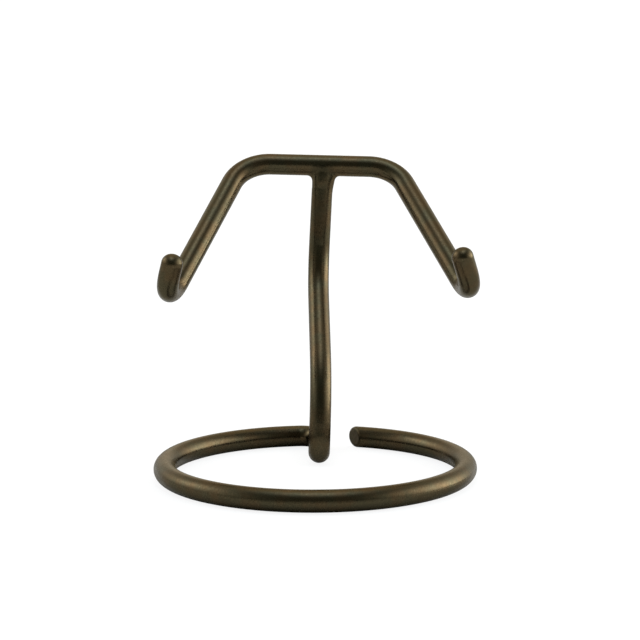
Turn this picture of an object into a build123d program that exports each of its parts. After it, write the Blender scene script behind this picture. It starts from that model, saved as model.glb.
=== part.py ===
"""A small stand of bent round wire: an open ring foot, a post that leans back in an S, and a
cradle made of a top bar, two arms and two small hooks. Millimetres, +Z up. The origin is on
the table at the centre of the ring foot, and the hooks face -Y."""

from build123d import *
import math
import os

# ---------------------------------------------------------------- driving dimensions

WIRE_DIAMETER = 3.45
WIRE_RADIUS = WIRE_DIAMETER / 2

# The ring foot lies on the table and is open at the back.
RING_OUTER_DIAMETER = 50.8
RING_RADIUS = (RING_OUTER_DIAMETER - WIRE_DIAMETER) / 2
FREE_END_ANGLE = 75.0
FREE_END_ALLOWANCE = 6.0
FREE_END_CUT_NORMAL = Vector(-0.88, -0.46, 0.03)
FREE_END_RIM_RADIUS = 0.6

# At the back the wire turns in tightly, runs forward and turns up into the post.
TURN_IN_RADIUS = 3.0
FOOT_X = 0.6
FOOT_Y = 7.4
FOOT_BEND_RADIUS = 3.2

# The post has three straight runs. Each leans back from the vertical by its own angle.
LOWER_RUN_RISE = 11.75
LOWER_RUN_LEAN = 5.0
LOWER_BEND_RADIUS = 15.0
LOWER_BEND_X = 1.0
MIDDLE_RUN_RISE = 14.75
MIDDLE_RUN_LEAN = 50.75
UPPER_BEND_RADIUS = 12.0
UPPER_BEND_X = 0.5
UPPER_RUN_LEAN = 4.5
POST_TOP_X = 1.45

# The bar crosses the top of the post, and falls slightly to the right.
BAR_CENTRE_Z = 44.7 + WIRE_RADIUS
BAR_FALL = 1.6
BAR_LEFT_X = -11.9
BAR_RIGHT_X = 13.2
LEFT_ARM_BEND_RADIUS = 6.65
RIGHT_ARM_BEND_RADIUS = 6.35

# Each arm goes out, forward and down from the bar's corner to the hook's corner.
LEFT_ARM = Vector(-12.45, -24.8, -21.5)
RIGHT_ARM = Vector(12.35, -24.9, -19.7)
LEFT_HOOK_BEND_RADIUS = 4.6
RIGHT_HOOK_BEND_RADIUS = 4.4

# Each tip goes up from the hook's corner, leaning forward and in, to the end of the wire.
LEFT_TIP = Vector(2.55, -3.1, 10.0)
RIGHT_TIP = Vector(-2.95, -3.3, 9.8)
TIP_ROUNDING = 1.5

# The weld fuses the post's end to the bar, and fills each side of the joint with a fillet.
WELD_REACH = 3.8
LEFT_WELD_FILLET = 0.95
RIGHT_WELD_FILLET = 1.2
FILLET_DEPTH_SHARE = 0.85

# ---------------------------------------------------------------- shared points


def lean_back(rise, degrees):
    """The step of a run that rises by rise and leans back by degrees from the vertical."""
    return Vector(0, rise * math.tan(math.radians(degrees)), rise)


def at_x(point, x):
    """The same point, moved across to x."""
    return Vector(x, point.Y, point.Z)


# The turn-in is an arc inside the ring's circle that touches it and ends heading forward.
turn_in_x = FOOT_X - TURN_IN_RADIUS
turn_in_y = math.sqrt((RING_RADIUS - TURN_IN_RADIUS) ** 2 - turn_in_x ** 2)
turn_in_angle = math.degrees(math.atan2(turn_in_y, turn_in_x))

foot_start = Vector(FOOT_X, turn_in_y, WIRE_RADIUS)
foot_corner = Vector(FOOT_X, FOOT_Y, WIRE_RADIUS)
lower_corner = at_x(foot_corner + lean_back(LOWER_RUN_RISE, LOWER_RUN_LEAN), LOWER_BEND_X)
upper_corner = at_x(lower_corner + lean_back(MIDDLE_RUN_RISE, MIDDLE_RUN_LEAN), UPPER_BEND_X)
upper_run_rise = BAR_CENTRE_Z - upper_corner.Z
post_top = at_x(upper_corner + lean_back(upper_run_rise, UPPER_RUN_LEAN), POST_TOP_X)


def on_bar(x):
    """The point of the bar's centre line at x."""
    drop = (x - POST_TOP_X) * math.tan(math.radians(BAR_FALL))
    return Vector(x, post_top.Y, post_top.Z - drop)


left_corner = on_bar(BAR_LEFT_X)
right_corner = on_bar(BAR_RIGHT_X)
left_hook = left_corner + LEFT_ARM
right_hook = right_corner + RIGHT_ARM
left_tip = left_hook + LEFT_TIP
right_tip = right_hook + RIGHT_TIP

# ---------------------------------------------------------------- cradle wire

with BuildPart() as cradle_wire:
    with BuildLine() as cradle_path:
        FilletPolyline(
            left_tip, left_hook, left_corner, right_corner, right_hook, right_tip,
            radius=(
                LEFT_HOOK_BEND_RADIUS,
                LEFT_ARM_BEND_RADIUS,
                RIGHT_ARM_BEND_RADIUS,
                RIGHT_HOOK_BEND_RADIUS,
            ),
        )
    with BuildSketch(Plane(origin=left_tip, z_dir=LEFT_TIP * -1)):
        Circle(WIRE_RADIUS)
    sweep()
    fillet(cradle_wire.faces().filter_by(GeomType.PLANE).edges(), TIP_ROUNDING)

# ---------------------------------------------------------------- base wire

free_end = Vector(RING_RADIUS, 0, WIRE_RADIUS).rotate(Axis.Z, FREE_END_ANGLE)
ring_start_angle = FREE_END_ANGLE + FREE_END_ALLOWANCE
cutter_width = 2 * WIRE_DIAMETER
upper_run_direction = (post_top - upper_corner).normalized()
post_end = post_top - upper_run_direction * WELD_REACH

with BuildPart() as base_wire:
    with BuildLine(Plane.XY.offset(WIRE_RADIUS)) as ring_path:
        CenterArc((0, 0), RING_RADIUS, ring_start_angle, turn_in_angle - 360 - ring_start_angle)
        CenterArc((turn_in_x, turn_in_y), TURN_IN_RADIUS, turn_in_angle, -turn_in_angle)
    with BuildLine() as post_path:
        FilletPolyline(
            foot_start, foot_corner, lower_corner, upper_corner, post_end,
            radius=(FOOT_BEND_RADIUS, LOWER_BEND_RADIUS, UPPER_BEND_RADIUS),
        )
    ring_start = ring_path.edges()[0]
    with BuildSketch(Plane(origin=ring_start @ 0, z_dir=ring_start % 0)):
        Circle(WIRE_RADIUS)
    sweep()
    # The free end is cut off aslant, and its rim is dulled.
    with Locations(Plane(origin=free_end, z_dir=FREE_END_CUT_NORMAL)):
        Box(
            cutter_width, cutter_width, WIRE_DIAMETER,
            align=(Align.CENTER, Align.CENTER, Align.MIN),
            mode=Mode.SUBTRACT,
        )
    fillet(base_wire.faces().sort_by_distance(free_end)[0].edges(), FREE_END_RIM_RADIUS)

# ---------------------------------------------------------------- weld bead

weld_box = 4 * WELD_REACH
fillet_depth = FILLET_DEPTH_SHARE * WIRE_DIAMETER
bar_direction = (right_corner - left_corner).normalized()
left_inside_corner = post_top - Vector(WIRE_RADIUS, 0, WIRE_RADIUS)
right_inside_corner = post_top + Vector(WIRE_RADIUS, 0, -WIRE_RADIUS)

with BuildPart() as weld_bead:
    with BuildSketch(Plane(origin=post_top, z_dir=bar_direction)):
        Circle(WIRE_RADIUS)
    extrude(amount=WELD_REACH, both=True)
    with BuildSketch(Plane(origin=post_end, z_dir=upper_run_direction)) as post_section:
        Circle(WIRE_RADIUS)
    extrude(amount=WELD_REACH)
    # Towards the front and the back the wires are flush, so the fillets stop short of it.
    with Locations(post_top):
        Box(weld_box, fillet_depth, weld_box, mode=Mode.INTERSECT)
    fillet(weld_bead.edges().sort_by_distance(left_inside_corner)[0], LEFT_WELD_FILLET)
    fillet(weld_bead.edges().sort_by_distance(right_inside_corner)[0], RIGHT_WELD_FILLET)
    # Between the fillets the weld is as thick as the post.
    extrude(post_section.sketch, amount=WELD_REACH)
    add(cradle_wire.part, mode=Mode.SUBTRACT)

# ---------------------------------------------------------------- files

os.makedirs("parts", exist_ok=True)
pieces = {"base_wire": base_wire, "cradle_wire": cradle_wire, "weld_bead": weld_bead}
for name, piece in pieces.items():
    piece.part.label = name
    export_step(piece.part, f"parts/{name}.step")
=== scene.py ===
"""The looks of the bent-wire display stand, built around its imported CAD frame. Metres, +Z up."""

import math

import bmesh
import bpy
import numpy as np
from mathutils import Matrix, Vector


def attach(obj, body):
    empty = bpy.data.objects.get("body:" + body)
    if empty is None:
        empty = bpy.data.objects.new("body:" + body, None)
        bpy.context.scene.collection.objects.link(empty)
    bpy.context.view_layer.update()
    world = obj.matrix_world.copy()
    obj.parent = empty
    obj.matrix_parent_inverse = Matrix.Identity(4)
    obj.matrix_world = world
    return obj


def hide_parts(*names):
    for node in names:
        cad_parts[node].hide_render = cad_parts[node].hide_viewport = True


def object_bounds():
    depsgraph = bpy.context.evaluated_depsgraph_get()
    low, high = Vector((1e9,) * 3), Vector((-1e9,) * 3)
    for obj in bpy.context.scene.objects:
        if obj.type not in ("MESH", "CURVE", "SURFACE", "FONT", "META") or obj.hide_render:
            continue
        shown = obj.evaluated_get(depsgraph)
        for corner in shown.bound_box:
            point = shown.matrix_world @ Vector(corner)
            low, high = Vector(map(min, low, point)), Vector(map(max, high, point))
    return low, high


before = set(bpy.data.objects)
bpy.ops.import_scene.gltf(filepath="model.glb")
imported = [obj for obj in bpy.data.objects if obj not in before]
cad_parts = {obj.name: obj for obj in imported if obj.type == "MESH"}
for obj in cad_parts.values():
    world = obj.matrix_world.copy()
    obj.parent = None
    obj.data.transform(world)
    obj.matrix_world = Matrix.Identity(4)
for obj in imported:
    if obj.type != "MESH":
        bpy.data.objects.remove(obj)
cad_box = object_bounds()

MM = 0.001

# ---------------------------------------------------------------- camera

CAMERA_PLACE = Vector((0.82, -390.0, 88.3)) * MM
CAMERA_PITCH = 9.21
CAMERA_ROLL = -0.19
CAMERA_LENS = 142.6


def make_camera():
    """A long lens straight in front of the stand, a little above it, looking down."""
    data = bpy.data.cameras.new("camera")
    data.lens = CAMERA_LENS
    data.clip_start = 10 * MM
    camera = bpy.data.objects.new("camera", data)
    bpy.context.scene.collection.objects.link(camera)
    pitch = Matrix.Rotation(math.radians(90 - CAMERA_PITCH), 4, "X")
    roll = Matrix.Rotation(math.radians(CAMERA_ROLL), 4, "Z")
    camera.matrix_world = Matrix.Translation(CAMERA_PLACE) @ pitch @ roll
    bpy.context.scene.camera = camera
    bpy.context.scene.view_settings.view_transform = "Standard"


# ---------------------------------------------------------------- node helpers


class Nodes:
    """Adds nodes to one tree and links them, so that a material reads as a short recipe."""

    def __init__(self, tree):
        self.tree = tree

    def add(self, kind, **inputs):
        node = self.tree.nodes.new("ShaderNode" + kind)
        for name, value in inputs.items():
            self.feed(node.inputs[name.replace("_", " ")], value)
        return node

    def feed(self, socket, value):
        if isinstance(value, bpy.types.NodeSocket):
            self.tree.links.new(value, socket)
        else:
            socket.default_value = value

    def math(self, operation, *values):
        node = self.tree.nodes.new("ShaderNodeMath")
        node.operation = operation
        for socket, value in zip(node.inputs, values):
            self.feed(socket, value)
        return node.outputs[0]

    def vector(self, operation, first, second):
        node = self.tree.nodes.new("ShaderNodeVectorMath")
        node.operation = operation
        self.feed(node.inputs[0], first)
        self.feed(node.inputs[1], second)
        return node

    def noise(self, place, size, detail=3.0, rough=0.55):
        """Noise whose lumps are about size across, in metres."""
        node = self.add("TexNoise", Vector=place, Scale=1 / size, Detail=detail, Roughness=rough)
        return node.outputs["Fac"]

    def spread(self, value, low, high, to_low, to_high):
        """value, carried smoothly from the range low..high to the range to_low..to_high."""
        node = self.add("MapRange", Value=value)
        node.interpolation_type = "SMOOTHSTEP"
        numbers = {"From Min": low, "From Max": high, "To Min": to_low, "To Max": to_high}
        for name, number in numbers.items():
            node.inputs[name].default_value = number
        return node.outputs["Result"]

    def mix(self, factor, first, second, blend="MIX"):
        """Two colours mixed."""
        node = self.tree.nodes.new("ShaderNodeMix")
        node.data_type = "RGBA"
        node.blend_type = blend
        self.feed(node.inputs["Factor"], factor)
        self.feed(node.inputs[6], first)
        self.feed(node.inputs[7], second)
        return node.outputs[2]


# ---------------------------------------------------------------- materials

# Satin dark bronze: a thin coat full of fine metal flakes. The colours are linear.
BRONZE = (0.0345, 0.0261, 0.0133, 1)
BRONZE_RED = (0.0400, 0.0260, 0.0128, 1)
BRONZE_GREEN = (0.0292, 0.0268, 0.0152, 1)
FLAKE = (0.068, 0.0525, 0.0285, 1)
EDGE_TINT = (0.60, 0.59, 0.57, 1)
HUE_SHARE = 0.55
FLAKE_SHARE = 0.55
BETWEEN_FLAKES = 0.78
ROUGHNESS = 0.26
# The sizes of the coat's patches of tone, flakes, lumps and scuffed areas.
PATCH_SIZE = 3.2 * MM
FLAKE_SIZE = 0.32 * MM
LUMP_SIZE = 1.1 * MM
SCUFF_SIZE = 7.0 * MM
LUMP_HEIGHT = 0.05 * MM
FLAKE_HEIGHT = 0.012 * MM
# Seen edge-on the coat is duller: over these facing values its metal gives way to matt bronze.
DULL_FROM = 0.68
DULL_TO = 0.95
DULL_METAL = 0.35
# Round the joint the coat is wavy, and darker there as painted shade where the post meets the bar;
# it fades into the plain coat.
WELD_PAINTED_SHADE = 0.72
WELD_ROUGHER = 0.04
WELD_INNER = 1.6 * MM
WELD_OUTER = 3.2 * MM
WAVE_SIZE = 0.55 * MM
WAVE_HEIGHT = 0.05 * MM
# The cut face at the foot's free end is darker and pitted. It is placed as in the part.
CUT_PLACE = Vector((6.13, 22.87, 1.725)) * MM
CUT_FACING = (-0.886, -0.463, 0.030)
CUT_SHADE = 0.55
CUT_ROUGHER = 0.06
CUT_INNER = 2.6 * MM
CUT_OUTER = 3.2 * MM
CUT_BEHIND = -0.25 * MM
CUT_AHEAD = -0.05 * MM
PIT_SIZE = 0.5 * MM
PIT_HEIGHT = 0.08 * MM


def bump(tree, strength, distance, height, under=None):
    """The normal of a surface with bumps of this height, on top of the normal under it."""
    node = tree.add("Bump", Strength=strength, Distance=distance, Height=height)
    if under is not None:
        tree.feed(node.inputs["Normal"], under)
    return node.outputs["Normal"]


def weld_mask(tree, place):
    """1 at the joint, and 0 away from it: where the coat is wavy, rougher and painted darker as
    shade.
    """
    away = tree.vector("DISTANCE", place, tuple(POST_TOP * MM)).outputs["Value"]
    return tree.spread(away, WELD_INNER, WELD_OUTER, 1, 0)


def cut_mask(tree, place):
    """1 on the cut face of the foot's free end, and 0 elsewhere."""
    from_cut = tree.vector("SUBTRACT", place, tuple(CUT_PLACE)).outputs["Vector"]
    ahead = tree.vector("DOT_PRODUCT", from_cut, CUT_FACING).outputs["Value"]
    away = tree.vector("DISTANCE", place, tuple(CUT_PLACE)).outputs["Value"]
    near = tree.spread(away, CUT_INNER, CUT_OUTER, 1, 0)
    return tree.math("MULTIPLY", tree.spread(ahead, CUT_BEHIND, CUT_AHEAD, 0, 1), near)


def bronze(name, welded=False):
    """The coat. Over the weld it is rougher, uneven and darker as painted shade under the bar; on
    the wire's cut face it is darker, rougher and uneven.
    """
    material = bpy.data.materials.new(name)
    material.use_nodes = True
    tree = Nodes(material.node_tree)
    shader = material.node_tree.nodes["Principled BSDF"]
    place = tree.add("TexCoord").outputs["Object"]

    patches = tree.noise(place, PATCH_SIZE)
    flakes = tree.noise(place, FLAKE_SIZE, detail=4, rough=0.7)
    lumps = tree.noise(place, LUMP_SIZE, detail=2)
    scuffs = tree.noise(place, SCUFF_SIZE, detail=5, rough=0.65)

    hue = tree.mix(tree.spread(patches, 0.35, 0.65, 0, 1), BRONZE_GREEN, BRONZE_RED)
    base = tree.mix(HUE_SHARE, BRONZE, hue)
    colour = tree.mix(tree.spread(flakes, 0.56, 0.74, 0, FLAKE_SHARE), base, FLAKE)
    shade = tree.spread(flakes, 0.3, 0.52, BETWEEN_FLAKES, 1)
    worn = tree.spread(scuffs, 0.35, 0.65, ROUGHNESS - 0.03, ROUGHNESS + 0.04)
    rough = tree.math("ADD", worn, tree.spread(flakes, 0.35, 0.7, 0.03, -0.04))
    normal = bump(tree, 0.35, LUMP_HEIGHT, lumps)
    normal = bump(tree, 0.3, FLAKE_HEIGHT, flakes, normal)

    if welded:
        mask, darker, rougher = weld_mask(tree, place), WELD_PAINTED_SHADE, WELD_ROUGHER
        waves = tree.math("MULTIPLY", tree.noise(place, WAVE_SIZE, detail=1), mask)
        normal = bump(tree, 0.4, WAVE_HEIGHT, waves, normal)
    else:
        mask, darker, rougher = cut_mask(tree, place), CUT_SHADE, CUT_ROUGHER
        pits = tree.math("MULTIPLY", tree.noise(place, PIT_SIZE, detail=2), mask)
        normal = bump(tree, 0.5, PIT_HEIGHT, pits, normal)
    # At the weld this darkening is painted shade under the bar; at the cut face it is the cut's
    # own darker tone.
    shade = tree.math("MULTIPLY", shade, tree.spread(mask, 0, 1, 1, darker))
    rough = tree.math("ADD", rough, tree.spread(mask, 0, 1, 0, rougher))

    tree.feed(shader.inputs["Base Color"], tree.mix(1.0, colour, shade, blend="MULTIPLY"))
    facing = tree.add("LayerWeight").outputs["Facing"]
    tree.feed(shader.inputs["Metallic"], tree.spread(facing, DULL_FROM, DULL_TO, 1, DULL_METAL))
    shader.inputs["Specular IOR Level"].default_value = 0.0
    shader.inputs["Specular Tint"].default_value = EDGE_TINT
    tree.feed(shader.inputs["Roughness"], rough)
    tree.feed(shader.inputs["Normal"], normal)
    return material


def paint(node, material):
    """Gives a CAD node this material in place of its own."""
    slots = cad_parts[node].data.materials
    slots.clear()
    slots.append(material)


# ---------------------------------------------------------------- weld

# The joint's own numbers, as in the part, in millimetres.
WIRE_RADIUS = 1.725
POST_TOP = np.array((1.45, 27.9135, 46.425))
POST_BEND = np.array((0.5, 26.4811, 28.225))
BAR_FALL = math.radians(1.6)
BAR_REACH = 3.9
POST_REACH = 4.6
# The weld metal fills the inside corners by this much: at the left, at the right, and in front.
LEFT_FILL = 1.0
RIGHT_FILL = 0.85
FLUSH_FILL = 0.25
FLUSH_DEPTHS = (0.3, 1.0)
# At the right it also runs down the post in a long thin wedge.
WEDGE = 0.32
WEDGE_LENGTH = 2.0
WEDGE_SIDES = (0.6, 1.7)
WEDGE_DROPS = (0.3, 1.5)
# In front it swells a little where the post begins.
SWELL = 0.05
SWELL_DROP = 2.3
SWELL_SIZE = 1.1
SWELL_DEPTHS = (0.2, 1.2)
SWELL_SIDES = (1.2, 1.8)
# It stands this proud of the wires at the joint, and dives this deep into them at its ends
# and above the bar's middle.
PROUD = 0.02
DIVE = 0.03
MIDDLE_DROP = 0.8
PROUD_REACH = (1.9, 3.7)
BELOW_BAR = (-1, 0.2)
# Faint dimples cover its middle.
DIMPLE = 0.02
DIMPLE_REACH = (1.2, 2.6)
DIMPLE_WAVES = ((2.3, 0.7, 3.1), (-1.1, 1.9, 2.7))
# Its mesh starts as an even skin round two stubs, and is drawn onto the shape in steps.
STUB_SIDES = 64
VOXEL = 0.12
STEPS = 8
SLOPE_STEP = 0.01
LEAST_SLOPE = 0.1

bar_way = np.array((math.cos(BAR_FALL), 0, -math.sin(BAR_FALL)))
post_way = (POST_TOP - POST_BEND) / np.linalg.norm(POST_TOP - POST_BEND)


def blend(value, low, high):
    """0 below low, 1 above high, and smooth between."""
    share = np.clip((value - low) / (high - low), 0, 1)
    return share * share * (3 - 2 * share)


def wire_distance(points, way, start, end):
    """Distance outside a round wire that runs along way from start to end, about the joint."""
    along = (points - POST_TOP) @ way
    across = np.linalg.norm(points - POST_TOP - along[:, None] * way, axis=1) - WIRE_RADIUS
    return np.maximum(across, np.maximum(start - along, along - end))


def weld_distance(points):
    """Distance outside the weld: the two wires blended, with a slightly uneven skin."""
    from_joint = points - POST_TOP
    side = from_joint @ bar_way
    drop = -from_joint[:, 2]
    depth = np.abs(from_joint[:, 1]) / WIRE_RADIUS
    inner = 1 - blend(depth, *FLUSH_DEPTHS)

    bar = wire_distance(points, bar_way, -BAR_REACH, BAR_REACH)
    post = wire_distance(points, post_way, -POST_REACH, 0)
    wedge = WEDGE * np.exp(-(np.maximum(drop - WIRE_RADIUS, 0) / WEDGE_LENGTH) ** 2)
    post = post - wedge * blend(side, *WEDGE_SIDES) * inner * blend(drop, *WEDGE_DROPS)

    corner = LEFT_FILL + (RIGHT_FILL - LEFT_FILL) * blend(side, -1, 1)
    fill = FLUSH_FILL + (corner - FLUSH_FILL) * inner
    share = np.clip(0.5 + 0.5 * (post - bar) / fill, 0, 1)
    joined = post + (bar - post) * share - fill * share * (1 - share)

    front = blend(-from_joint[:, 1], *SWELL_DEPTHS) * (1 - blend(np.abs(side), *SWELL_SIDES))
    joined -= SWELL * np.exp(-((drop - SWELL_DROP) / SWELL_SIZE) ** 2) * front

    away = np.linalg.norm(from_joint + MIDDLE_DROP * post_way, axis=1)
    below = blend(drop, *BELOW_BAR)
    skin = PROUD - (PROUD + DIVE) * blend(away, *PROUD_REACH)
    first, second = (np.sin(points @ wave) for wave in DIMPLE_WAVES)
    dimples = DIMPLE * first * second * (1 - blend(away, *DIMPLE_REACH))
    return joined + DIVE * (1 - below) - (skin + dimples) * below


def draw_onto_weld(points):
    """The points, moved onto the weld's surface along its slope, and kept in front of the
    CAD's back."""
    for _ in range(STEPS):
        gap = weld_distance(points)
        rises = [weld_distance(points + SLOPE_STEP * axis) - gap for axis in np.eye(3)]
        slope = np.stack(rises, axis=1) / SLOPE_STEP
        steepness = np.maximum((slope ** 2).sum(axis=1), LEAST_SLOPE)
        points = points - slope * (gap / steepness)[:, None]
    points[:, 1] = np.minimum(points[:, 1], cad_box[1][1] / MM)
    return points


def make_weld(material):
    """One blended piece of weld metal over the joint, in place of the plain CAD solid."""
    mesh = bpy.data.meshes.new("weld_nugget")
    stubs = bmesh.new()
    for way, start, end in ((bar_way, -BAR_REACH, BAR_REACH), (post_way, -POST_REACH, 0)):
        middle = POST_TOP + way * (start + end) / 2
        turn = Vector(way).to_track_quat("Z", "Y").to_matrix().to_4x4()
        bmesh.ops.create_cone(
            stubs, cap_ends=True, segments=STUB_SIDES, radius1=WIRE_RADIUS,
            radius2=WIRE_RADIUS, depth=end - start, matrix=Matrix.Translation(middle) @ turn,
        )
    stubs.to_mesh(mesh)
    stubs.free()
    piece = bpy.data.objects.new("weld_nugget", mesh)
    bpy.context.scene.collection.objects.link(piece)
    remesh = piece.modifiers.new("even", "REMESH")
    remesh.mode = "VOXEL"
    remesh.voxel_size = VOXEL
    remeshed = piece.evaluated_get(bpy.context.evaluated_depsgraph_get())
    skin = bpy.data.meshes.new_from_object(remeshed)
    piece.modifiers.clear()
    piece.data = skin

    points = draw_onto_weld(np.array([corner.co for corner in skin.vertices]))
    for corner, point in zip(skin.vertices, points):
        corner.co = point * MM
    for face in skin.polygons:
        face.use_smooth = True
    skin.materials.clear()
    skin.materials.append(material)
    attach(piece, "root")
    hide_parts("weld_bead")


# ---------------------------------------------------------------- floor and light

TABLE_HALF = 6.0
TABLE_DARKER = (0.8, 0.8, 0.8, 1)
TABLE_PALER = (0.81, 0.81, 0.81, 1)
TABLE_GRAIN = 2 * MM
TABLE_ROUGHNESS = 0.7
# To the eye the table is mostly its own even white, so that the shadows on it stay faint.
TABLE_WHITE = 0.98
TABLE_EVENNESS = 0.88


def make_floor():
    """A plain white table top, much larger than the stand."""
    mesh = bpy.data.meshes.new("floor")
    turns = ((-1, -1), (1, -1), (1, 1), (-1, 1))
    corners = [(x * TABLE_HALF, y * TABLE_HALF, 0) for x, y in turns]
    mesh.from_pydata(corners, [], [(0, 1, 2, 3)])
    material = bpy.data.materials.new("white_table")
    material.use_nodes = True
    tree = Nodes(material.node_tree)
    place = tree.add("TexCoord").outputs["Object"]
    grain = tree.noise(place, TABLE_GRAIN)
    shader = material.node_tree.nodes["Principled BSDF"]
    tree.feed(shader.inputs["Base Color"], tree.mix(grain, TABLE_DARKER, TABLE_PALER))
    shader.inputs["Roughness"].default_value = TABLE_ROUGHNESS
    seen = tree.add("LightPath").outputs["Is Camera Ray"]
    white = tree.add("Emission", Color=(1, 1, 1, 1), Strength=TABLE_WHITE)
    cover = tree.add("MixShader", Fac=tree.math("MULTIPLY", seen, TABLE_EVENNESS))
    tree.feed(cover.inputs[1], shader.outputs["BSDF"])
    tree.feed(cover.inputs[2], white.outputs["Emission"])
    surface = material.node_tree.nodes["Material Output"].inputs["Surface"]
    tree.feed(surface, cover.outputs["Shader"])
    mesh.materials.append(material)
    floor = bpy.data.objects.new("floor", mesh)
    bpy.context.scene.collection.objects.link(floor)


# The light tent: soft glows on a dim ground. Each glow has an azimuth and an elevation in
# degrees, a sharpness, a radiance and a tint. Azimuth 0 is towards the camera, +90 is right.
NEUTRAL = (1.0, 1.0, 1.0)
COOL = (0.85, 1.0, 1.2)
WARM = (1.2, 1.0, 0.72)
SILVER = (0.98, 1.0, 1.06)
GLOWS = {
    "top_strip": (0, 90, 60, 1.9, COOL),
    "top_wide": (0, 90, 20, 2.5, COOL),
    "top_front": (0, 75, 30, 1.9, COOL),
    "top_back": (180, 60, 12, 1.9, WARM),
    "right_wide": (100, 22, 15, 7.5, SILVER),
    "right_low": (110, 0, 20, 10.8, NEUTRAL),
    "right_front": (70, 20, 15, 2.4, NEUTRAL),
    "right_back": (130, 20, 15, 3.7, NEUTRAL),
    "left_box": (-112, 33, 60, 3.2, NEUTRAL),
    "left_wide": (-105, 30, 15, 4.9, SILVER),
    "left_front": (-70, 20, 15, 1.3, NEUTRAL),
    "left_back": (-135, 20, 15, 2.5, NEUTRAL),
    "back": (180, 15, 12, 1.5, WARM),
}
TENT = (0.28, 0.32, 0.30)


def towards(azimuth, elevation):
    """The unit vector at an azimuth and an elevation in degrees."""
    turn, rise = math.radians(azimuth), math.radians(elevation)
    level = math.cos(rise)
    return (level * math.sin(turn), -level * math.cos(turn), math.sin(rise))


def make_light():
    """A light tent all round: soft glows on a dark ground, darkest in front."""
    world = bpy.data.worlds.new("light_tent")
    bpy.context.scene.world = world
    world.use_nodes = True
    tree = Nodes(world.node_tree)
    way = tree.add("TexCoord").outputs["Generated"]
    total = tree.vector("MULTIPLY", TENT, NEUTRAL).outputs["Vector"]
    for azimuth, elevation, sharpness, radiance, tint in GLOWS.values():
        dot = tree.vector("DOT_PRODUCT", way, towards(azimuth, elevation)).outputs["Value"]
        fall = tree.math("EXPONENT", tree.math("MULTIPLY_ADD", dot, sharpness, -sharpness))
        strength = tree.math("MULTIPLY", fall, radiance)
        glow = tree.vector("MULTIPLY", tint, strength).outputs["Vector"]
        total = tree.vector("ADD", glow, total).outputs["Vector"]
    background = world.node_tree.nodes["Background"]
    tree.feed(background.inputs["Color"], total)


make_camera()
make_floor()
make_light()
wire_coat = bronze("bronze_wire")
weld_coat = bronze("bronze_weld", welded=True)
paint("base_wire", wire_coat)
paint("cradle_wire", wire_coat)
make_weld(weld_coat)
